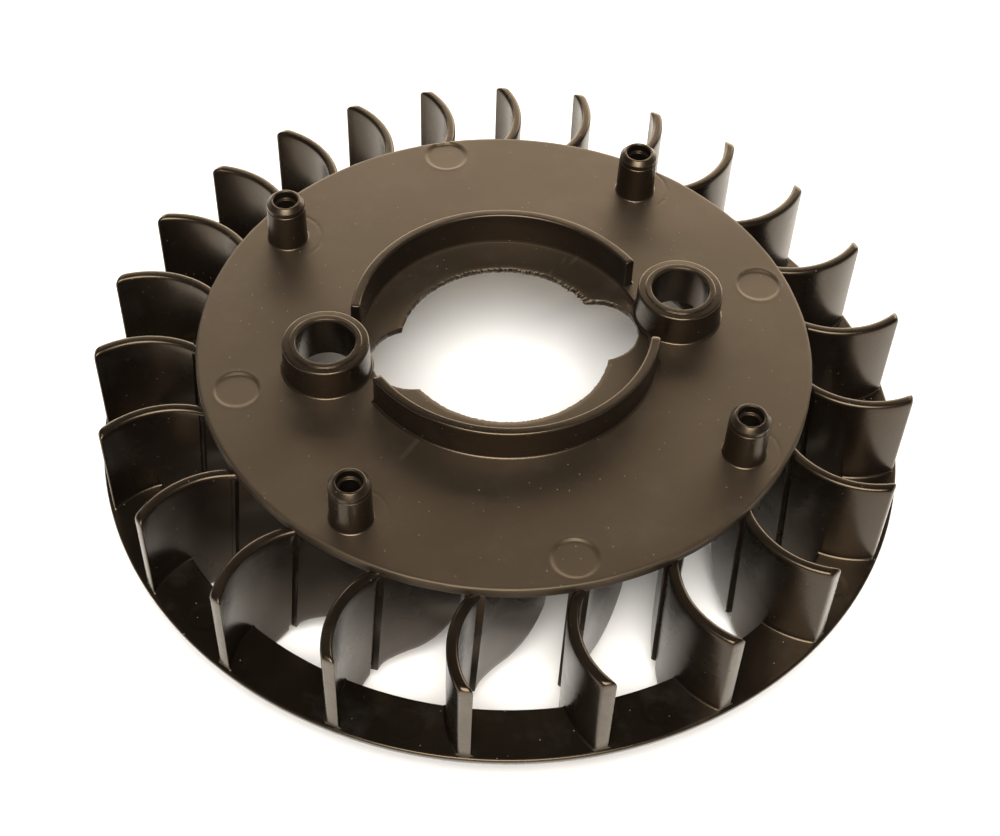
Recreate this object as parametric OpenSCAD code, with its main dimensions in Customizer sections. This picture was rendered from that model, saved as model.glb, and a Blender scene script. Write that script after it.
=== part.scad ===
/* [Overall] */
// Outside diameter of the bottom ring, mm
fan_d = 220; // [180:1:260]
// Depth that the vane feet reach below the ring, mm
foot_drop = 12; // [0:0.5:20]

/* [Ring] */
// Ring thickness, mm
ring_t = 2.4; // [1.5:0.1:5]
// Inside diameter of the ring, mm
ring_id = 191; // [150:1:205]

/* [Vanes] */
// Vane thickness outside the disc, mm
vane_t = 3; // [2:0.1:5]
// Step out of the thicker part under the disc, hollow side, mm
step_in = 2.4; // [0.5:0.1:3]
// Step out of the thicker part under the disc, rounded side, mm
step_out = 0.9; // [0:0.1:1.5]
// Height of the vanes above the ring, mm
vane_h = 29; // [15:0.5:40]
// Radius of the outer curve of a vane, mm
vane_r = 23.8; // [20:0.1:30]
// Radius of the gentler curve under the disc, mm
vane_root_r = 110; // [80:1:150]
// Largest shift of the uneven vane spacing, degrees
uneven = 10; // [0:0.5:10]

/* [Disc] */
// Disc diameter, mm
disc_d = 164; // [140:1:175]
// Disc thickness, mm
disc_t = 3; // [2:0.1:6]
// Height of the disc top above the vane tops, mm
disc_rise = 2.1; // [0.5:0.1:2.5]
// Radius of the centre hole, mm
centre_r = 28.2; // [20:0.1:31]
// Radius of the two side lobes of the centre hole, mm
lobe_r = 11.2; // [6:0.1:12]
// Radius of the flat seat inside the vanes, mm
seat_r = 65; // [61:0.5:66]
// Drop of the ledge inside the collar, mm
ledge_drop = 1.1; // [0:0.1:1.5]

/* [Collar] */
// Outside radius of the collar walls, mm
collar_r = 41.2; // [40:0.1:44]
// Collar wall thickness, mm
collar_t = 2.8; // [2:0.1:4]
// Collar height above the disc, mm
collar_h = 9; // [4:0.1:14]

/* [Drive bosses] */
// Distance of each drive boss from the axis, mm
boss_x = 48; // [47:0.1:52]
// Boss outside diameter, mm
boss_d = 23.4; // [20:0.1:26]
// Boss bore diameter, mm
boss_bore = 15; // [10:0.1:17]
// Boss height above the disc, mm
boss_h = 9.5; // [4:0.1:14]

/* [Screen posts] */
// Distance of the post centres from the axis along each axis, mm
post_xy = 50.5; // [48:0.1:54]
// Post diameter at the top, mm
post_d = 10.4; // [9.8:0.1:12]
// Post height above the disc, mm
post_h = 13.9; // [8:0.1:20]
// Screw hole diameter, mm
screw_d = 5; // [3:0.1:5.6]
// Screw hole mouth diameter, mm
screw_mouth_d = 6.6; // [5.8:0.1:7.4]

/* [Hidden] */
$fn = 96;
plastic = [0.16, 0.14, 0.12];
ring_z = foot_drop;
ring_top = ring_z + ring_t;
vane_top = ring_top + vane_h;
disc_top = vane_top + disc_rise;
disc_bot = disc_top - disc_t;
disc_r = disc_d / 2;
ring_r = fan_d / 2;
tip_r = ring_r - 1;
// meeting point of the two vane curves, and the direction of the curve there
ax = 95;
ay = 18.9;
jx = 82;
jy = ay - sqrt(vane_r * vane_r - (ax - jx) * (ax - jx));
nx = (ax - jx) / vane_r;
ny = (ay - jy) / vane_r;
// the thicker part under the disc stops this far in from the meeting point
root_in = 1.4;
function vane_angle(i) = 90 - 15 * i + uneven * sin(15 * i);

// ---- vane -------------------------------------------------------------
// plan of one vane, tip pointing along +X: a tight curve outside the disc,
// carried inwards under it by a thicker, gentler one
module vane_plan() {
  intersection() {
    translate([ax, ay]) difference() {
      circle(r = vane_r + vane_t / 2);
      circle(r = vane_r - vane_t / 2);
    }
    polygon([[jx - 3 * ny - 8 * nx, jy + 3 * nx - 8 * ny], [jx - 3 * ny + 6 * nx, jy + 3 * nx + 6 * ny],
             [114, 5], [114, -14], [78, -14]]);
  }
  intersection() {
    translate([jx + vane_root_r * nx, jy + vane_root_r * ny]) difference() {
      circle(r = vane_root_r + vane_t / 2 + step_out, $fn = 180);
      circle(r = vane_root_r - vane_t / 2 - step_in, $fn = 180);
    }
    polygon([[jx - root_in * ny - 8 * nx, jy + root_in * nx - 8 * ny], [jx - root_in * ny + 8 * nx, jy + root_in * nx + 8 * ny],
             [75, 28], [52, 28], [52, 2]]);
  }
}

// side outline swept round the axis: top edge beside the disc, tip above the
// ring, foot inside the ring, and the rising curve of the inner edge
module vane_outline() {
  rotate_extrude($fn = 180) polygon(concat(
    [[disc_r, vane_top], [tip_r - 1.2, vane_top], [tip_r - 0.35, vane_top - 0.35], [tip_r, vane_top - 1.2],
     [tip_r, ring_top], [ring_id / 2, ring_top], [ring_id / 2, ring_z - 7], [94, 0], [89.5, 0],
     [88, 0.9], [84.6, 3.6], [83.2, 6], [81.4, 6.6]],
    [for (a = [0:10:90]) [76.5 - 8.3 * sin(a), 28.6 - 22 * cos(a)]],
    [[68.1, disc_bot], [disc_r, disc_bot]]));
}

module vane(i) {
  color(plastic) intersection() {
    rotate([0, 0, vane_angle(i)]) linear_extrude(height = vane_top) vane_plan();
    vane_outline();
  }
}

// ---- disc -------------------------------------------------------------
module eject_mark(x, y, d, z) {
  translate([x, y, z - 0.25]) cylinder(r = d / 2, h = 1, $fn = 48);
}

// the disc is kept as two pieces of one plate: the flat middle that seats on
// the flywheel, and the rim round it that carries the vanes and the posts
module hub_plate() {
  color(plastic) difference() {
    translate([0, 0, disc_bot]) cylinder(r = seat_r, h = disc_t, $fn = 180);
    translate([0, 0, disc_top - ledge_drop]) cylinder(r = collar_r - collar_t, h = 5, $fn = 120);
    translate([0, 0, disc_bot - 1]) cylinder(r = centre_r, h = disc_t + 2, $fn = 120);
    for (s = [-1, 1]) {
      translate([s * 25.3, -0.6, disc_bot - 1]) cylinder(r = lobe_r, h = disc_t + 2, $fn = 72);
      translate([s * boss_x, 0, disc_bot - 1]) cylinder(r = boss_d / 2, h = disc_t + 2, $fn = 72);
    }
  }
}

module disc_rim() {
  color(plastic) difference() {
    rotate_extrude($fn = 180) polygon([[seat_r, disc_bot], [disc_r, disc_bot], [disc_r, disc_top - 0.6],
      [disc_r - 0.18, disc_top - 0.18], [disc_r - 0.6, disc_top], [seat_r, disc_top]]);
    eject_mark(0, 75.4, 11.7, disc_top);
    eject_mark(-72.2, -3.5, 11.7, disc_top);
    eject_mark(0, -73.9, 11.7, disc_top);
    eject_mark(73.2, 6.0, 11.7, disc_top);
  }
}

// ---- ring -------------------------------------------------------------
module base_ring() {
  color(plastic) difference() {
    rotate_extrude($fn = 180) polygon([[ring_id / 2, ring_z], [ring_r - 0.7, ring_z], [ring_r - 0.4, ring_z + 0.3],
      [ring_r, ring_top - 0.4], [ring_r - 0.4, ring_top], [ring_id / 2, ring_top]]);
    for (k = [0:11]) rotate([0, 0, (vane_angle(2 * k + 1) + vane_angle(2 * k + 2)) / 2])
      eject_mark(102.6, 0, 8, ring_top);
  }
}

// ---- collar -----------------------------------------------------------
// curved wall between two directions, standing on the disc
module collar_wall(a0, a1) {
  am = (a0 + a1) / 2;
  color(plastic) intersection() {
    rotate_extrude($fn = 120) polygon([[collar_r - collar_t, disc_top], [collar_r + 0.4, disc_top], [collar_r, disc_top + 0.5],
      [collar_r, disc_top + collar_h - 0.5], [collar_r - 0.5, disc_top + collar_h],
      [collar_r - collar_t + 0.5, disc_top + collar_h], [collar_r - collar_t, disc_top + collar_h - 0.5]]);
    linear_extrude(height = disc_top + collar_h + 1) polygon([[0, 0], [70 * cos(a0), 70 * sin(a0)],
      [140 * cos((a0 + am) / 2), 140 * sin((a0 + am) / 2)], [140 * cos(am), 140 * sin(am)],
      [140 * cos((a1 + am) / 2), 140 * sin((a1 + am) / 2)], [70 * cos(a1), 70 * sin(a1)]]);
  }
}

module collar_rear() { collar_wall(18.5, 164); }
module collar_front() { collar_wall(200, 338.5); }

// ---- drive bosses -----------------------------------------------------
module boss(s) {
  r = boss_d / 2;
  b = boss_bore / 2;
  t = disc_top + boss_h;
  color(plastic) translate([s * boss_x, 0, 0]) rotate_extrude($fn = 96) polygon([[b, disc_bot], [r, disc_bot], [r, disc_top],
    [r, t - 1.3], [r - 0.35, t - 0.65], [r - 1, t - 0.3], [b + 1.85, t - 0.3], [b + 1.7, t], [b + 0.4, t], [b, t - 0.4]]);
}

module boss_left() { boss(-1); }
module boss_right() { boss(1); }

// ---- screen posts -----------------------------------------------------
module post(sx, sy) {
  r = post_d / 2;
  t = disc_top + post_h;
  color(plastic) translate([sx * post_xy, sy * post_xy, 0]) difference() {
    rotate_extrude($fn = 72) polygon([[0, disc_top], [r + 0.7, disc_top], [r + 0.3, disc_top + 0.4], [r + 0.1, t - 2.4],
      [r - 0.1, t - 2.2], [r, t - 1.3], [r - 0.6, t - 0.5], [r - 1.3, t], [0, t]]);
    translate([0, 0, disc_top + 1.6]) cylinder(r = screw_d / 2, h = post_h, $fn = 48);
    translate([0, 0, t - 2]) cylinder(r = screw_mouth_d / 2, h = 4, $fn = 48);
  }
}

module post_front_left() { post(-1, -1); }
module post_front_right() { post(1, -1); }
module post_rear_left() { post(-1, 1); }
module post_rear_right() { post(1, 1); }

// ---- vanes ------------------------------------------------------------
module vane_01() { vane(0); }
module vane_02() { vane(1); }
module vane_03() { vane(2); }
module vane_04() { vane(3); }
module vane_05() { vane(4); }
module vane_06() { vane(5); }
module vane_07() { vane(6); }
module vane_08() { vane(7); }
module vane_09() { vane(8); }
module vane_10() { vane(9); }
module vane_11() { vane(10); }
module vane_12() { vane(11); }
module vane_13() { vane(12); }
module vane_14() { vane(13); }
module vane_15() { vane(14); }
module vane_16() { vane(15); }
module vane_17() { vane(16); }
module vane_18() { vane(17); }
module vane_19() { vane(18); }
module vane_20() { vane(19); }
module vane_21() { vane(20); }
module vane_22() { vane(21); }
module vane_23() { vane(22); }
module vane_24() { vane(23); }

hub_plate();
disc_rim();
base_ring();
collar_rear();
collar_front();
boss_left();
boss_right();
post_front_left();
post_front_right();
post_rear_left();
post_rear_right();
vane_01();
vane_02();
vane_03();
vane_04();
vane_05();
vane_06();
vane_07();
vane_08();
vane_09();
vane_10();
vane_11();
vane_12();
vane_13();
vane_14();
vane_15();
vane_16();
vane_17();
vane_18();
vane_19();
vane_20();
vane_21();
vane_22();
vane_23();
vane_24();
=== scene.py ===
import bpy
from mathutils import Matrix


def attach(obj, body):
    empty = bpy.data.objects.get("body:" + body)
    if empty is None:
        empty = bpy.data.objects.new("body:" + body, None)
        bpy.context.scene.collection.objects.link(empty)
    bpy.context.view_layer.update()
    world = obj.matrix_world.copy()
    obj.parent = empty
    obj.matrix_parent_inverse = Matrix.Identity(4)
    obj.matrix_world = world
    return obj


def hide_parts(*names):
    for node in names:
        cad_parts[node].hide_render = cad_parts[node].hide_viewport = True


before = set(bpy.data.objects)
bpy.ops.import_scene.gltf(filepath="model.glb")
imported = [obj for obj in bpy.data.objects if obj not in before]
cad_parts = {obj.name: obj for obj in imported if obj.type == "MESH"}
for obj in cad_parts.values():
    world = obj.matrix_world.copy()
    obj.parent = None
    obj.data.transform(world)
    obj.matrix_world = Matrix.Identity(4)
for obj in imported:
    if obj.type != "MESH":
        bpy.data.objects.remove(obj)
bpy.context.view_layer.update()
import math

import bmesh
import bpy
from mathutils import Matrix, Vector

MM = 0.001

# Heights and radii of the moulding, in millimetres
FOOT = 12.0
RING_T = 2.4
RING_TOP = FOOT + RING_T
VANE_TOP = RING_TOP + 29.0
DISC_TOP = VANE_TOP + 2.1
DISC_BOT = DISC_TOP - 3.0
DISC_R = 82.0
RING_R = 110.0
RING_IN = 95.5
TIP_R = 109.0
LEDGE = DISC_TOP - 1.1
CENTRE_R = 28.2
COLLAR_OUT = 41.2
COLLAR_IN = 38.4
COLLAR_TOP = DISC_TOP + 9.0
BOSS_X = 48.0
BOSS_TOP = DISC_TOP + 9.5
POST_XY = 50.5
POST_TOP = DISC_TOP + 13.9


# ---------------------------------------------------------------- helpers
def smooth(a, b, x):
    """0 below a, 1 above b, and a soft step between."""
    t = min(1.0, max(0.0, (x - a) / (b - a)))
    return t * t * (3 - 2 * t)


def noise1(x, seed, period=0):
    """Smooth seeded noise from -1 to 1 along x, with a knot at each whole number."""
    def knot(i):
        if period:
            i %= period
        v = math.sin(i * 127.1 + seed * 311.7) * 43758.5453
        return 2 * (v - math.floor(v)) - 1
    i = math.floor(x)
    f = x - i
    f = f * f * (3 - 2 * f)
    return knot(i) * (1 - f) + knot(i + 1) * f


def make(name, verts, faces, node, mat, sharp=36.0):
    me = bpy.data.meshes.new(name)
    me.from_pydata([(x * MM, y * MM, z * MM) for x, y, z in verts], [], faces)
    me.validate()
    bm = bmesh.new()
    bm.from_mesh(me)
    bmesh.ops.remove_doubles(bm, verts=bm.verts, dist=1e-6)
    bmesh.ops.recalc_face_normals(bm, faces=bm.faces)
    lim = math.radians(sharp)
    for f in bm.faces:
        f.smooth = True
    for e in bm.edges:
        if len(e.link_faces) == 2:
            e.smooth = e.calc_face_angle(0.0) < lim
    bm.to_mesh(me)
    bm.free()
    ob = bpy.data.objects.new(name, me)
    bpy.context.scene.collection.objects.link(ob)
    me.materials.append(mat)
    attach(ob, "root")
    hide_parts(*node.split())
    return ob


def rounded(points, steps=5):
    """Closed outline with each corner (x, y, radius) replaced by an arc."""
    out = []
    n = len(points)
    for i in range(n):
        x, y, r = points[i]
        p = Vector((x, y))
        a = Vector(points[i - 1][:2]) - p
        b = Vector(points[(i + 1) % n][:2]) - p
        if r <= 0 or a.length < 1e-6 or b.length < 1e-6:
            out.append((x, y))
            continue
        half = a.angle(b) / 2
        d = min(r / math.tan(half), a.length * 0.49, b.length * 0.49)
        rr = d * math.tan(half)
        ua, ub = a.normalized(), b.normalized()
        c = p + (ua + ub).normalized() * (rr / math.sin(half))
        s, e = p + ua * d - c, p + ub * d - c
        for k in range(steps + 1):
            t = k / steps
            v = (s * (1 - t) + e * t)
            if v.length < 1e-9:
                v = s
            v = v.normalized() * rr
            out.append((c.x + v.x, c.y + v.y))
    return out


def lathe(outline, segs, cx=0.0, cy=0.0, wobble=0.0, seed=1):
    """Closed outline (r, z) turned all the way round the axis at (cx, cy)."""
    verts, faces = [], []
    n = len(outline)
    for i in range(segs):
        a = 2 * math.pi * i / segs
        for k, (r, z) in enumerate(outline):
            w = wobble * noise1(i * 24.0 / segs, seed, 24) if r > 1 else 0.0
            rr = max(0.0, r + w)
            verts.append((cx + rr * math.cos(a), cy + rr * math.sin(a), z))
    for i in range(segs):
        j = (i + 1) % segs
        for k in range(n):
            m = (k + 1) % n
            faces.append((i * n + k, j * n + k, j * n + m, i * n + m))
    return verts, faces


def turned_arc(outline, a0, a1, segs, end_r):
    """Closed outline (r, z) swept from angle a0 to a1, with softened ends."""
    verts, faces = [], []
    n = len(outline)
    rm = sum(r for r, z in outline) / n
    zt = max(z for r, z in outline)
    da = math.degrees(end_r / rm)
    stations = [(a0 + da * (1 - math.cos(k / 4 * math.pi / 2)), end_r * (1 - math.sin(k / 4 * math.pi / 2))) for k in range(5)]
    for k in range(1, segs):
        stations.append((a0 + da + (a1 - a0 - 2 * da) * k / segs, 0.0))
    stations += [(a1 - da * (1 - math.cos(k / 4 * math.pi / 2)), end_r * (1 - math.sin(k / 4 * math.pi / 2))) for k in (4, 3, 2, 1, 0)]
    for ang, inset in stations:
        a = math.radians(ang)
        for r, z in outline:
            half = abs(r - rm)
            rr = rm + math.copysign(max(0.0, half - inset), r - rm)
            zz = z - inset * smooth(zt - 2.0, zt, z)
            verts.append((rr * math.cos(a), rr * math.sin(a), zz))
    m = len(stations)
    for i in range(m - 1):
        for k in range(n):
            q = (k + 1) % n
            faces.append((i * n + k, (i + 1) * n + k, (i + 1) * n + q, i * n + q))
    faces.append(tuple(range(n)))
    faces.append(tuple((m - 1) * n + k for k in reversed(range(n))))
    return verts, faces


# ---------------------------------------------------------------- material
def plastic(name, base, rough, streak, seed, dust=1.0, painted_shade_scale=1.0, shine=0.62, tip_highlight=0.0):
    """Satin moulded plastic: uneven warm colour, flow streaks, fine grain, rubbed patches and light dust specks; a
    darkening factor paints shade into the base colour, and an optional paler band at the vanes' outer ends is a
    painted highlight.
    """
    m = bpy.data.materials.new(name)
    m.use_nodes = True
    nt = m.node_tree
    nt.nodes.clear()
    N, L = nt.nodes.new, nt.links.new
    out = N("ShaderNodeOutputMaterial")
    bsdf = N("ShaderNodeBsdfPrincipled")
    L(bsdf.outputs[0], out.inputs[0])
    tc = N("ShaderNodeTexCoord")
    mp = N("ShaderNodeMapping")
    mp.inputs["Location"].default_value = (seed * 0.37, seed * 0.11, seed * 0.23)
    L(tc.outputs["Object"], mp.inputs["Vector"])

    def noise(scale, detail, rough_, vec=None, dist=0.0):
        n = N("ShaderNodeTexNoise")
        n.inputs["Scale"].default_value = scale
        n.inputs["Detail"].default_value = detail
        n.inputs["Roughness"].default_value = rough_
        n.inputs["Distortion"].default_value = dist
        L(vec or mp.outputs[0], n.inputs["Vector"])
        return n

    def ramp(src, stops):
        r = N("ShaderNodeValToRGB")
        e = r.color_ramp.elements
        e[0].position, e[0].color = stops[0][0], stops[0][1]
        e[1].position, e[1].color = stops[-1][0], stops[-1][1]
        for p, c in stops[1:-1]:
            x = e.new(p)
            x.color = c
        L(src, r.inputs[0])
        return r

    def g(v):
        return (v, v, v, 1)

    cloud = noise(14, 5, 0.55)
    # base colour scaled down per part by the darkening factor: painted shade, since disc, vanes, ring and posts are
    # all one plastic
    b = [c * painted_shade_scale for c in base]
    col = ramp(cloud.outputs[0], [
        (0.28, (b[0] * 0.72, b[1] * 0.70, b[2] * 0.68, 1)),
        (0.5, (b[0], b[1], b[2], 1)),
        (0.74, (b[0] * 1.30, b[1] * 1.28, b[2] * 1.22, 1))])
    # long soft flow streaks
    mp2 = N("ShaderNodeMapping")
    mp2.inputs["Scale"].default_value = streak
    mp2.inputs["Rotation"].default_value = (0.0, 0.0, 0.35 + seed * 0.2)
    L(tc.outputs["Object"], mp2.inputs["Vector"])
    flow = noise(9, 4, 0.6, mp2.outputs[0], 0.6)
    fl = ramp(flow.outputs[0], [(0.3, g(0.80)), (0.7, g(1.16))])
    mix = N("ShaderNodeMix")
    mix.data_type = "RGBA"
    mix.blend_type = "MULTIPLY"
    mix.inputs[0].default_value = 0.85
    L(col.outputs[0], mix.inputs[6])
    L(fl.outputs[0], mix.inputs[7])
    # fine mineral grain
    grain = noise(1900, 3, 0.7)
    gr = ramp(grain.outputs[0], [(0.3, g(0.84)), (0.7, g(1.14))])
    mix2 = N("ShaderNodeMix")
    mix2.data_type = "RGBA"
    mix2.blend_type = "MULTIPLY"
    mix2.inputs[0].default_value = 0.8
    L(mix.outputs[2], mix2.inputs[6])
    L(gr.outputs[0], mix2.inputs[7])
    # dust specks, sparse and pale
    vor = N("ShaderNodeTexVoronoi")
    vor.inputs["Scale"].default_value = 460
    vor.inputs["Randomness"].default_value = 1.0
    L(mp.outputs[0], vor.inputs["Vector"])
    spot = ramp(vor.outputs["Distance"], [(0.045, g(1)), (0.09, g(0))])
    sep = N("ShaderNodeSeparateColor")
    L(vor.outputs["Color"], sep.inputs[0])
    pick = N("ShaderNodeMath")
    pick.operation = "GREATER_THAN"
    pick.inputs[1].default_value = 0.66
    L(sep.outputs[0], pick.inputs[0])
    spec = N("ShaderNodeMath")
    spec.operation = "MULTIPLY"
    L(spot.outputs[0], spec.inputs[0])
    L(pick.outputs[0], spec.inputs[1])
    amt = N("ShaderNodeMath")
    amt.operation = "MULTIPLY"
    amt.inputs[1].default_value = 0.26 * dust
    L(spec.outputs[0], amt.inputs[0])
    # haze of fine dust in patches
    dust_haze_and_highlight_noise = noise(55, 6, 0.7)
    hz = ramp(dust_haze_and_highlight_noise.outputs[0], [(0.52, g(0)), (0.80, g(0.035 * dust))])
    mix3 = N("ShaderNodeMix")
    mix3.data_type = "RGBA"
    mix3.inputs[7].default_value = (0.30, 0.27, 0.23, 1)
    L(hz.outputs[0], mix3.inputs[0])
    L(mix2.outputs[2], mix3.inputs[6])
    mix4 = N("ShaderNodeMix")
    mix4.data_type = "RGBA"
    mix4.inputs[7].default_value = (0.55, 0.50, 0.43, 1)
    L(amt.outputs[0], mix4.inputs[0])
    L(mix3.outputs[2], mix4.inputs[6])
    # rubbed edges come up a little paler
    geo = N("ShaderNodeNewGeometry")
    edge = ramp(geo.outputs["Pointiness"], [(0.52, g(0)), (0.60, g(0.45))])
    mix5 = N("ShaderNodeMix")
    mix5.data_type = "RGBA"
    mix5.inputs[7].default_value = (b[0] * 2.2 + 0.01, b[1] * 2.2 + 0.008, b[2] * 2.2 + 0.006, 1)
    L(edge.outputs[0], mix5.inputs[0])
    L(mix4.outputs[2], mix5.inputs[6])
    top = mix5.outputs[2]
    if tip_highlight:
        # painted highlight on the outer ends of the vanes: paler beyond 108.6 mm from the axis, standing in for the
        # bright floor that the tip faces reflect
        sx = N("ShaderNodeSeparateXYZ")
        L(tc.outputs["Object"], sx.inputs[0])
        flat = N("ShaderNodeCombineXYZ")
        L(sx.outputs[0], flat.inputs[0])
        L(sx.outputs[1], flat.inputs[1])
        far = N("ShaderNodeVectorMath")
        far.operation = "LENGTH"
        L(flat.outputs[0], far.inputs[0])
        tip_highlight_mask = N("ShaderNodeMapRange")
        tip_highlight_mask.inputs[1].default_value = 0.10855
        tip_highlight_mask.inputs[2].default_value = 0.10885
        tip_highlight_mask.inputs[3].default_value = 0.0
        tip_highlight_mask.inputs[4].default_value = 1.0
        L(far.outputs["Value"], tip_highlight_mask.inputs[0])
        # the painted tip highlight is made patchy with the dust haze noise
        tip_highlight_breakup = ramp(dust_haze_and_highlight_noise.outputs[0], [(0.35, g(0.55)), (0.65, g(1.0))])
        tip_highlight_amount = N("ShaderNodeMath")
        tip_highlight_amount.operation = "MULTIPLY"
        L(tip_highlight_mask.outputs[0], tip_highlight_amount.inputs[0])
        L(tip_highlight_breakup.outputs[0], tip_highlight_amount.inputs[1])
        mix6 = N("ShaderNodeMix")
        mix6.data_type = "RGBA"
        # colour of the painted highlight on the vane tips
        mix6.inputs[7].default_value = (tip_highlight, tip_highlight * 0.88, tip_highlight * 0.70, 1)
        L(tip_highlight_amount.outputs[0], mix6.inputs[0])
        L(top, mix6.inputs[6])
        top = mix6.outputs[2]
    L(top, bsdf.inputs["Base Color"])
    # sheen that varies with the mould polish
    pol = noise(26, 4, 0.6)
    rr = ramp(pol.outputs[0], [(0.3, g(rough - 0.06)), (0.7, g(rough + 0.07))])
    fr = ramp(flow.outputs[0], [(0.3, g(-0.0)), (0.7, g(0.05))])
    add = N("ShaderNodeMath")
    add.operation = "ADD"
    L(rr.outputs[0], add.inputs[0])
    L(fr.outputs[0], add.inputs[1])
    add2 = N("ShaderNodeMath")
    add2.operation = "ADD"
    L(add.outputs[0], add2.inputs[0])
    L(amt.outputs[0], add2.inputs[1])
    L(add2.outputs[0], bsdf.inputs["Roughness"])
    bsdf.inputs["IOR"].default_value = 1.52
    bsdf.inputs["Specular IOR Level"].default_value = shine
    bsdf.inputs["Specular Tint"].default_value = (1.0, 0.74, 0.48, 1.0)
    # fine orange peel plus broad sink waviness
    fine = noise(950, 2, 0.6)
    broad = noise(38, 3, 0.5)
    b1 = N("ShaderNodeBump")
    b1.inputs["Strength"].default_value = 0.10
    b1.inputs["Distance"].default_value = 0.00012
    L(fine.outputs[0], b1.inputs["Height"])
    b2 = N("ShaderNodeBump")
    b2.inputs["Strength"].default_value = 0.22
    b2.inputs["Distance"].default_value = 0.0009
    L(broad.outputs[0], b2.inputs["Height"])
    L(b1.outputs[0], b2.inputs["Normal"])
    L(b2.outputs[0], bsdf.inputs["Normal"])
    return m


BASE = (0.0086, 0.0060, 0.0042)
# the seventh value is painted shade: it darkens the vanes (0.55), ring (0.45) and posts (0.55) against the disc (1.0)
# though all are one plastic
mat_disc = plastic("nylon_disc", BASE, 0.46, (1.0, 3.2, 1.0), 1, 1.0, 1.0, 0.66)
# the vanes' last value sets the painted highlight on their tips
mat_vane = plastic("nylon_vane", BASE, 0.23, (1.0, 1.0, 4.0), 2, 0.7, 0.55, 0.47, 0.075)
mat_ring = plastic("nylon_ring", BASE, 0.24, (1.4, 1.4, 1.0), 3, 1.1, 0.45, 0.52)
mat_post = plastic("nylon_post", BASE, 0.27, (1.0, 1.0, 3.0), 4, 0.6, 0.55, 0.60)


# ---------------------------------------------------------------- hub disc
MARKS = [(0.0, 75.4), (-72.2, -3.5), (0.0, -73.9), (73.2, 6.0)]


def hole_radius(a):
    """Radius of the lobed centre hole in direction a, in radians."""
    best = CENTRE_R
    c, s = math.cos(a), math.sin(a)
    for sx in (-1, 1):
        px, py = sx * 25.3, -0.6
        b = px * c + py * s
        d = b * b - (px * px + py * py - 11.2 * 11.2)
        if d > 0:
            best = max(best, b + math.sqrt(d))
    return best


def burr(a):
    """How far torn flash hangs into the hole in direction a: rough at the rear and at the right, faint elsewhere."""
    deg = math.degrees(a) % 360
    rear = smooth(48, 62, deg) * (1 - smooth(112, 128, deg))
    right = smooth(8, 16, deg) * (1 - smooth(40, 52, deg))
    left = 0.35 * smooth(128, 140, deg) * (1 - smooth(165, 178, deg))
    n = abs(noise1(deg * 0.55, 3)) * 0.6 + abs(noise1(deg * 1.7, 5)) * 0.5 + abs(noise1(deg * 3.9, 8)) * 0.35
    return (0.06 + 0.8 * rear + 1.5 * right + left) * n ** 1.6


def disc_height(x, y):
    """Small relief on the disc's top: four ejector marks, and a faint arc beside each post."""
    z = 0.0
    for i, (mx, my) in enumerate(MARKS):
        d = math.hypot(x - mx, y - my)
        if d < 7.5:
            tilt = 0.16 * (y - my) / 5.85
            inside = 1 - smooth(5.3, 6.1, d)
            z -= inside * (0.34 + tilt)
            z += 0.03 * math.exp(-((d - 6.35) / 0.45) ** 2)
    for sx in (-1, 1):
        for sy in (-1, 1):
            d = math.hypot(x - sx * POST_XY, y - sy * POST_XY)
            if 8.4 < d < 10.2:
                side = (x - sx * POST_XY) / d
                k = smooth(0.25, 0.7, side)
                z -= 0.10 * k * math.exp(-((d - 9.3) / 0.22) ** 2)
    return z


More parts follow.
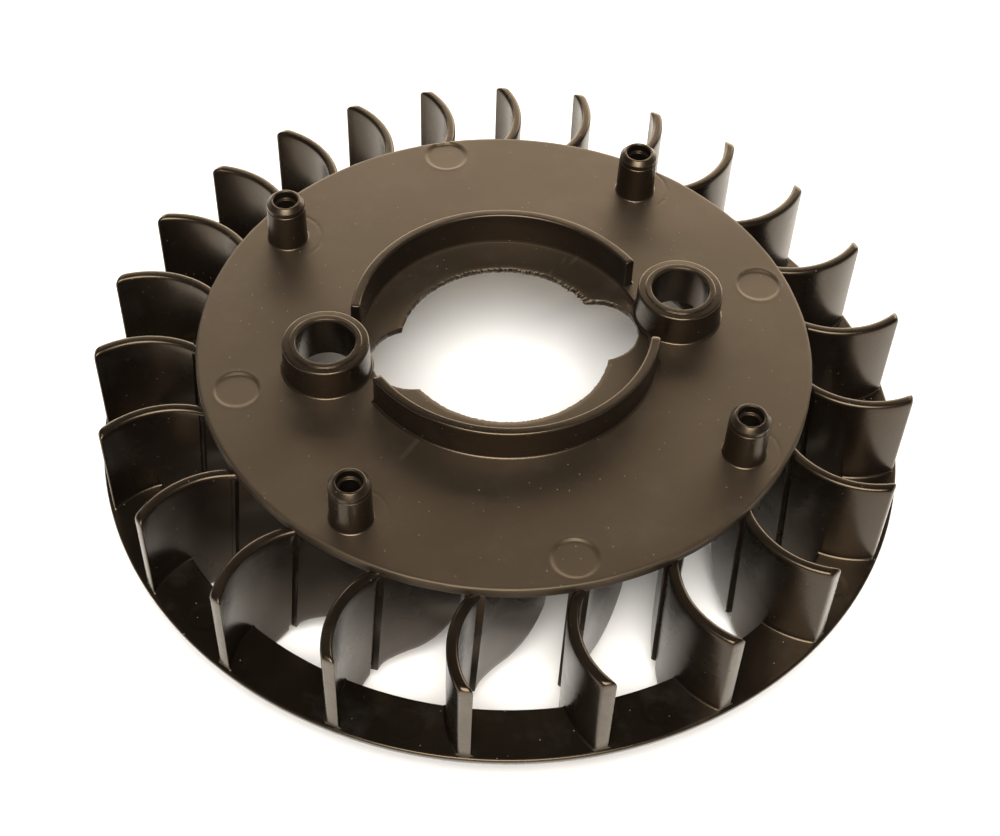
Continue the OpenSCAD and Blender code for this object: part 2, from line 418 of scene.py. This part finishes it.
def disc_mesh():
    segs = 900
    # radial stations of the top face, from the hole's edge to the rim: (kind, value)
    ledge_n = 7
    wall = [(COLLAR_IN - 0.5, LEDGE), (COLLAR_IN - 0.16, LEDGE + 0.04), (COLLAR_IN - 0.02, LEDGE + 0.22), (COLLAR_IN, LEDGE + 0.9), (COLLAR_IN + 0.1, DISC_TOP)]
    radii = []
    r = COLLAR_IN + 0.4
    while r < DISC_R - 1.2:
        radii.append(r)
        r += 0.22 if 66.5 < r < 82 else (0.42 if 54 < r < 81 else 1.1)
    rim = [(DISC_R - 0.9, 0.0), (DISC_R - 0.6, -0.03), (DISC_R - 0.34, -0.13), (DISC_R - 0.15, -0.3), (DISC_R - 0.04, -0.5), (DISC_R, -0.75),
           (DISC_R, -1.5), (DISC_R, -2.4), (DISC_R - 0.05, -2.75), (DISC_R - 0.25, -3.0)]
    under = [80.0, 74.0, 68.0, 63.0] + [60.0 - 0.75 * q for q in range(29)]
    cols = []
    for i in range(segs):
        a = 2 * math.pi * i / segs
        c, s = math.cos(a), math.sin(a)
        hr = hole_radius(a)
        fl = burr(a)
        deg = math.degrees(a)
        sag = 0.10 * noise1(deg * 0.12, 17, 43)
        col = []
        edge_r = hr + 0.12 * noise1(deg * 0.9, 31)
        # wall of the hole from the bottom up, with flash at mid height
        col.append((edge_r + 0.05, DISC_BOT))
        col.append((edge_r - fl * 0.25, DISC_BOT + 0.25))
        col.append((edge_r - fl * 0.7, DISC_BOT + 0.8))
        col.append((edge_r - fl, DISC_BOT + 1.3 + 0.25 * noise1(deg * 2.3, 12)))
        col.append((edge_r - fl * 0.75, LEDGE - 0.32))
        col.append((edge_r - fl * 0.2, LEDGE - 0.12))
        col.append((edge_r + 0.18, LEDGE - 0.02 + 0.10 * min(1.0, fl)))
        w0 = COLLAR_IN - 0.5
        for k in range(1, ledge_n + 1):
            t = k / (ledge_n + 1)
            col.append((edge_r + 0.35 + (w0 - edge_r - 0.35) * t, LEDGE + sag * 0.3 * math.sin(t * math.pi)))
        for rr, z in wall:
            col.append((max(rr, edge_r + 0.36), z))
        for rr in radii:
            x, y = rr * c, rr * s
            col.append((rr, DISC_TOP + disc_height(x, y)))
        for rr, dz in rim:
            nick = 0.05 * noise1(deg * 0.35, 44, 126)
            col.append((rr + (nick if dz < -0.2 and rr > DISC_R - 0.3 else 0.0) - 0.05, DISC_TOP + dz))
        for rr in under:
            col.append((max(rr, edge_r + 0.4), DISC_BOT))
        cols.append([(rr * c, rr * s, z) for rr, z in col])
    n = len(cols[0])
    verts = [p for col in cols for p in col]
    faces = []
    n_top0 = 7 + ledge_n
    # cells inside each drive boss's wall are left out, and closed by short walls

    def in_boss(x, y):
        return min(math.hypot(x - BOSS_X, y), math.hypot(x + BOSS_X, y)) < 9.6

    for i in range(segs):
        j = (i + 1) % segs
        for k in range(n):
            m = (k + 1) % n
            quad = (i * n + k, j * n + k, j * n + m, i * n + m)
            cx = sum(verts[q][0] for q in quad) / 4
            cy = sum(verts[q][1] for q in quad) / 4
            if in_boss(cx, cy):
                continue
            faces.append(quad)
    return verts, faces


v, f = disc_mesh()
disc = make("disc_body", v, f, "hub_plate disc_rim", mat_disc, 40)

# inside each boss's wall the cut disc is closed from its top to its underside
bm = bmesh.new()
bm.from_mesh(disc.data)
for sx in (-1, 1):
    loop = [e for e in bm.edges if len(e.link_faces) == 1 and e.verts[0].co.x * sx > 0]
    bmesh.ops.bridge_loops(bm, edges=loop)
bmesh.ops.recalc_face_normals(bm, faces=bm.faces)
for e in bm.edges:
    if len(e.link_faces) == 2 and e.calc_face_angle(0.0) > math.radians(40):
        e.smooth = False
bm.to_mesh(disc.data)
bm.free()


# ---------------------------------------------------------------- base ring
def vane_angle(i):
    return 90 - 15 * i + 10 * math.sin(math.radians(15 * i))


RING_MARKS = []
for k in range(12):
    am = math.radians((vane_angle(2 * k + 1) + vane_angle(2 * k + 2)) / 2)
    RING_MARKS.append((102.6 * math.cos(am), 102.6 * math.sin(am)))


def ring_mesh():
    segs = 1080
    inner = [(RING_IN + 0.25, 0.0), (RING_IN + 0.06, 0.1), (RING_IN, 0.3), (RING_IN, 1.2), (RING_IN, RING_T - 0.35), (RING_IN + 0.08, RING_T - 0.1), (RING_IN + 0.3, RING_T)]
    radii = [RING_IN + 0.7 + 0.36 * k for k in range(37)]
    radii = [r for r in radii if r < RING_R - 0.9]
    outer = [(RING_R - 0.7, RING_T), (RING_R - 0.42, RING_T - 0.03), (RING_R - 0.2, RING_T - 0.14), (RING_R - 0.08, RING_T - 0.34), (RING_R - 0.06, RING_T - 0.7),
             (RING_R - 0.2, RING_T * 0.5), (RING_R - 0.38, 0.45), (RING_R - 0.5, 0.16), (RING_R - 0.8, 0.0)]
    under = [106.0, 101.0, 97.0]
    verts, faces = [], []
    n = len(inner) + len(radii) + len(outer) + len(under)
    for i in range(segs):
        a = 2 * math.pi * i / segs
        c, s = math.cos(a), math.sin(a)
        deg = math.degrees(a)
        wav = 0.06 * noise1(deg * 0.1, 61, 36)
        for r, z in inner:
            verts.append((r * c, r * s, FOOT + z))
        for r in radii:
            x, y = r * c, r * s
            z = 0.0
            for mx, my in RING_MARKS:
                d = math.hypot(x - mx, y - my)
                if d < 5.2:
                    z -= 0.10 * (1 - smooth(3.5, 4.3, d))
                    z += 0.012 * math.exp(-((d - 4.5) / 0.4) ** 2)
            verts.append((x, y, RING_TOP + z + 0.03 * noise1(deg * 0.4 + r * 0.2, 71)))
        for r, z in outer:
            rr = r - 0.04 + wav * 0.5
            rr = min(rr, RING_R - 0.05)
            verts.append((rr * c, rr * s, FOOT + z))
        for r in under:
            verts.append((r * c, r * s, FOOT))
    for i in range(segs):
        j = (i + 1) % segs
        for k in range(n):
            m = (k + 1) % n
            faces.append((i * n + k, j * n + k, j * n + m, i * n + m))
    return verts, faces


v, f = ring_mesh()
ring = make("ring_body", v, f, "base_ring", mat_ring, 40)


# ---------------------------------------------------------------- collar
collar_outline = rounded([
    (COLLAR_IN, DISC_TOP - 1.0, 0), (COLLAR_IN + 0.35, DISC_TOP - 1.05, 0), (COLLAR_OUT - 0.2, DISC_TOP - 1.05, 0), (COLLAR_OUT + 0.75, DISC_TOP - 0.02, 0), (COLLAR_OUT + 0.5, DISC_TOP + 0.04, 0),
    (COLLAR_OUT + 0.26, DISC_TOP + 0.15, 0), (COLLAR_OUT + 0.1, DISC_TOP + 0.32, 0), (COLLAR_OUT + 0.01, DISC_TOP + 0.56, 0), (COLLAR_OUT - 0.02, DISC_TOP + 0.8, 0), (COLLAR_OUT - 0.08, COLLAR_TOP, 0.55), (COLLAR_IN + 0.12, COLLAR_TOP, 0.6)], 6)
for name, node, a0, a1, er in (("collar_wall_rear", "collar_rear", 18.7, 163.8, 0.35), ("collar_wall_front", "collar_front", 200.2, 338.3, 1.1)):
    v, f = turned_arc(collar_outline, a0, a1, 120, er)
    make(name, v, f, node, mat_post, 42)


# ---------------------------------------------------------------- bosses
for sx, name, node in ((-1, "boss_body_left", "boss_left"), (1, "boss_body_right", "boss_right")):
    t = BOSS_TOP
    outline = rounded([
        (7.5, DISC_BOT - 0.04, 0.15), (11.2, DISC_BOT - 0.04, 0), (11.2, DISC_TOP - 0.4, 0), (12.3, DISC_TOP - 0.03, 0), (12.05, DISC_TOP + 0.03, 0), (11.86, DISC_TOP + 0.12, 0), (11.72, DISC_TOP + 0.27, 0), (11.63, DISC_TOP + 0.48, 0),
        (11.58, DISC_TOP + 0.75, 0), (11.42, t - 1.4, 0.4), (11.36, t - 0.34, 0.75), (9.45, t - 0.32, 0.18), (9.25, t - 0.02, 0.22), (7.9, t - 0.02, 0.3),
        (7.52, t - 0.6, 0.3)], 6)
    v, f = lathe(outline, 144, sx * BOSS_X, 0.0, 0.03, 7 + sx)
    make(name, v, f, node, mat_post, 45)


# ---------------------------------------------------------------- posts
for sx, sy, name, node in ((-1, -1, "post_body_fl", "post_front_left"), (1, -1, "post_body_fr", "post_front_right"),
                           (-1, 1, "post_body_rl", "post_rear_left"), (1, 1, "post_body_rr", "post_rear_right")):
    t = POST_TOP
    d = DISC_TOP
    outline = rounded([
        (0.0, d - 0.5, 0), (5.5, d - 0.5, 0), (5.86, d - 0.02, 0), (5.66, d + 0.08, 0), (5.53, d + 0.2, 0), (5.47, d + 0.42, 0), (5.28, t - 2.72, 0.12), (5.1, t - 2.56, 0.1),
        (5.12, t - 2.42, 0.1), (5.24, t - 2.26, 0.12), (5.18, t - 1.25, 0.35), (4.05, t - 0.03, 0.35), (3.5, t - 0.03, 0.14), (3.3, t - 0.3, 0.15), (3.24, t - 2.3, 0.15), (2.5, t - 2.5, 0.15),
        (2.46, t - 12.0, 0.3), (0.0, t - 12.3, 0)], 5)
    v, f = lathe(outline, 96, sx * POST_XY, sy * POST_XY, 0.02, 3 + sx + 2 * sy)
    make(name, v, f, node, mat_post, 45)


# ---------------------------------------------------------------- vanes
AX, AY, AR = 95.0, 18.9, 23.8
JX = 82.0
JY = AY - math.sqrt(AR * AR - (AX - JX) ** 2)
NX, NY = (AX - JX) / AR, (AY - JY) / AR
RR = 110.0
BX, BY = JX + RR * NX, JY + RR * NY


def on_circle(cx, cy, rho, r):
    """Angle, in radians, at which the circle of radius r round the axis meets the lower side of another circle."""
    d = math.hypot(cx, cy)
    k = (r * r + d * d - rho * rho) / (2 * r * d)
    return math.atan2(cy, cx) - math.acos(max(-1.0, min(1.0, k)))


def foot_z(r):
    """Height of the lower edge of a vane at radius r."""
    if r <= 68.2:
        return 28.6
    if r < 76.5:
        s = (76.5 - r) / 8.3
        return 28.6 - 22 * math.sqrt(max(0.0, 1 - s * s))
    pts = [(76.5, 6.6), (81.4, 6.6), (83.2, 6.0), (84.6, 3.6), (88.0, 0.9), (89.5, 0.02), (94.0, 0.02), (RING_IN - 0.02, 5.0)]
    for (r0, z0), (r1, z1) in zip(pts[:-1], pts[1:]):
        if r <= r1:
            return z0 + (z1 - z0) * (r - r0) / (r1 - r0)
    return RING_TOP - 0.25


STEP_R = 81.95


def lean(rb, z):
    """Radius at height z of the mesh line that starts at radius rb under the disc: lines near the step lean outwards to the foot."""
    w = smooth(76.6, 81.2, rb) * (1 - smooth(83.6, 90.5, rb))
    return rb + w * 2.4 * max(0.0, DISC_BOT + 0.9 - z) / 38.0


def side_offsets(rb, r, z, seed):
    """Half thickness on the hollow side and on the rounded side, on mesh line rb at radius r and height z."""
    up = (z - RING_TOP) / 29.0
    thin = 1.42 + 0.10 * up
    # hollow side: thicker under the disc, thinning towards a sharp step beside a narrow groove
    extra = 0.75 + 1.55 * (1 - smooth(70.5, 81.6, rb))
    k = smooth(STEP_R - 0.12, STEP_R + 0.02, rb)
    hol = (thin + extra) * (1 - k) + (thin - 0.12) * k
    hol -= 0.70 * k * (1 - smooth(STEP_R + 0.75, STEP_R + 1.15, rb)) * (1 - smooth(DISC_BOT - 2.5, DISC_BOT - 0.5, z))
    jr = 81.6
    rnd = (thin + 0.85) * (1 - smooth(jr - 0.3, jr + 0.3, rb)) + thin * smooth(jr - 0.3, jr + 0.3, rb)
    rnd -= 0.35 * smooth(jr - 0.1, jr + 0.2, rb) * (1 - smooth(jr + 0.9, jr + 1.4, rb))
    hol += 0.05 * noise1(r * 0.2 + z * 0.05, seed) * (1 if r < 107 else 0)
    if r > RING_IN:
        d = z - RING_TOP
        if d < 0.7:
            fl = 0.7 - math.sqrt(max(0.0, 0.49 - (0.7 - max(0.0, d)) ** 2))
            hol += fl
            rnd += fl
    return hol, rnd


def vane_mesh(idx):
    seed = 100 + idx
    a0 = math.radians(vane_angle(idx))
    rs = [68.14, 68.2, 68.32, 68.55, 68.9, 69.4, 70.0, 70.8, 71.8, 73.0, 74.4, 75.6, 76.5, 77.6, 78.8, 79.8, 80.6, 81.1, 81.3, 81.45, 81.6, 81.72, 81.83,
          81.9, 81.97, 82.1, 82.4, 82.7, 82.8, 82.9, 83.0, 83.1, 83.3, 83.7, 84.2, 84.8, 85.5, 86.3, 87.1, 88.0, 89.0, 89.5, 90.5, 92.0, 93.2, 94.0, 94.8,
          RING_IN - 0.04, RING_IN + 0.02]
    r = 96.4
    while r < 106.6:
        rs.append(r)
        r += 1.0
    rs += [106.8, 107.3, 107.7, 108.05, 108.35, 108.6, 108.78, 108.9, 108.95]
    side_n = 22
    rings = []
    for r in rs:
        rf = r
        for _ in range(6):
            zb = foot_z(rf)
            rf = lean(r, zb)
        zt = VANE_TOP - 0.03
        cr = 1.7
        if r > TIP_R - cr:
            t = min(1.0, (r - (TIP_R - cr)) / cr)
            zt -= cr * 0.8 * (1 - math.sqrt(max(0.0, 1 - t * t * 0.92)))
        # roundness of the vertical corners at the tip and at the inner end
        end = 0.0
        if r > TIP_R - 0.62:
            t = (r - (TIP_R - 0.62)) / 0.62
            end = 0.62 * (1 - math.sqrt(max(0.0, 1 - t * t)))
        if r < 68.9:
            t = (68.9 - r) / 0.8
            end = 1.5 * (1 - math.sqrt(max(0.0, 1 - min(1.0, t) ** 2)))

        def at(z, left, inset):
            rr = lean(r, z)
            hol, rou = side_offsets(r, rr, z, seed)
            if left:
                h = hol - inset - end
                if r < STEP_R:
                    ang = on_circle(BX, BY, RR - h, rr)
                else:
                    ang = on_circle(AX, AY, AR - h, rr)
            else:
                h = rou - inset - end
                if r < 81.4:
                    ang = on_circle(BX, BY, RR + h, rr)
                else:
                    ang = on_circle(AX, AY, AR + h, rr)
            a = a0 + ang
            return (rr * math.cos(a), rr * math.sin(a), z)

        tr = 0.95
        br = 0.45
        ring_pts = []
        zs = []
        if r > RING_IN:
            zs = [zb, RING_TOP + 0.02, RING_TOP + 0.1, RING_TOP + 0.25, RING_TOP + 0.45, RING_TOP + 0.7]
            lo = RING_TOP + 0.7
            for k in range(1, side_n - 5 + 1):
                zs.append(lo + (zt - tr - lo) * k / (side_n - 5))
            left = [at(z, True, 0.0) for z in zs]
            right = [at(z, False, 0.0) for z in zs]
        else:
            b0 = min(br, 0.3 * (zt - zb))
            zs = [zb, zb + b0 * 0.12, zb + b0 * 0.5, zb + b0]
            ins = [b0, b0 * 0.5, b0 * 0.13, 0.0]
            lo = zb + b0
            k2 = side_n + 1 - 4
            for k in range(1, k2 + 1):
                zs.append(lo + (zt - tr - lo) * k / k2)
                ins.append(0.0)
            left = [at(z, True, q) for z, q in zip(zs, ins)]
            right = [at(z, False, q) for z, q in zip(zs, ins)]
        top_l, top_r = [], []
        for k in range(1, 7):
            t = k / 6 * math.pi / 2
            z = zt - tr + tr * math.sin(t)
            ins_t = tr * (1 - math.cos(t))
            top_l.append(at(z, True, ins_t))
            top_r.append(at(z, False, ins_t))
        mid = [(top_l[-1][q] + top_r[-1][q]) / 2 for q in range(3)]
        pts = left + top_l + [tuple(mid)] + top_r[::-1] + right[::-1]
        rings.append(pts)
    n = len(rings[0])
    verts = [p for rg in rings for p in rg]
    faces = []
    m = len(rings)
    for i in range(m - 1):
        for k in range(n):
            q = (k + 1) % n
            faces.append((i * n + k, (i + 1) * n + k, (i + 1) * n + q, i * n + q))
    # end caps as strips across the thickness
    half = (n - 1) // 2
    for base, flip in ((0, False), ((m - 1) * n, True)):
        for k in range(half - 1):
            a, b = base + k, base + k + 1
            c, d = base + n - 2 - k, base + n - 1 - k
            faces.append((a, b, c, d) if not flip else (d, c, b, a))
        faces.append((base + half - 1, base + half, base + half + 1))
    return verts, faces


for i in range(24):
    v, f = vane_mesh(i)
    make("vane_body_%02d" % (i + 1), v, f, "vane_%02d" % (i + 1), mat_vane, 38)


# ---------------------------------------------------------------- floor and light
me = bpy.data.meshes.new("floor")
S = 1.9
me.from_pydata([(-S, -S, -0.0005), (S, -S, -0.0005), (S, S, -0.0005), (-S, S, -0.0005)], [], [(0, 1, 2, 3)])
floor = bpy.data.objects.new("floor", me)
bpy.context.scene.collection.objects.link(floor)
fm = bpy.data.materials.new("paper")
fm.use_nodes = True
fb = fm.node_tree.nodes["Principled BSDF"]
fb.inputs["Base Color"].default_value = (0.92, 0.90, 0.87, 1)
fb.inputs["Roughness"].default_value = 0.9
me.materials.append(fm)

bpy.context.scene.view_settings.view_transform = "Standard"
bpy.context.scene.view_settings.look = "None"
world = bpy.data.worlds.new("studio")
bpy.context.scene.world = world
world.use_nodes = True
wt = world.node_tree
bg = wt.nodes["Background"]
bg.inputs[1].default_value = 1.0
wc = wt.nodes.new("ShaderNodeTexCoord")
wsep = wt.nodes.new("ShaderNodeSeparateXYZ")
wr = wt.nodes.new("ShaderNodeValToRGB")
wt.links.new(wc.outputs["Generated"], wsep.inputs[0])
wt.links.new(wsep.outputs[2], wr.inputs[0])
wt.links.new(wr.outputs[0], bg.inputs[0])
we = wr.color_ramp.elements
we[0].position, we[0].color = 0.04, (0.80, 0.78, 0.75, 1)
we[1].position, we[1].color = 0.38, (0.07, 0.067, 0.062, 1)


def area(name, loc, target, size, power, colour, size_y=None):
    """A soft lamp: round, or a panel when size_y is given."""
    ld = bpy.data.lights.new(name, "AREA")
    ld.shape = "RECTANGLE" if size_y else "DISK"
    ld.size = size
    if size_y:
        ld.size_y = size_y
    ld.energy = power
    ld.color = colour
    ob = bpy.data.objects.new(name, ld)
    ob.location = loc
    d = Vector(target) - Vector(loc)
    ob.rotation_euler = d.to_track_quat("-Z", "Y").to_euler()
    ob.visible_camera = False
    bpy.context.scene.collection.objects.link(ob)
    return ob


area("wall_rear", (0.66, 1.58, 0.66), (0.05, 0, 0.20), 2.9, 66.0, (1.0, 0.87, 0.69), 1.10)
area("front_top", (-0.28, -1.02, 1.80), (0, -0.1, 0.0), 1.5, 84.0, (1.0, 0.985, 0.96))

# ---------------------------------------------------------------- camera
cd = bpy.data.cameras.new("camera")
cd.sensor_fit = "HORIZONTAL"
cd.sensor_width = 36.0
cd.lens = 64.152
cam = bpy.data.objects.new("camera", cd)
bpy.context.scene.collection.objects.link(cam)
cam.matrix_world = Matrix((
    (0.97352274, 0.15388782, -0.16903256, -0.08499545),
    (-0.22683524, 0.74180011, -0.63109300, -0.31566811),
    (0.02827085, 0.65272593, 0.75706646, 0.39193776),
    (0.0, 0.0, 0.0, 1.0)))
bpy.context.scene.camera = cam
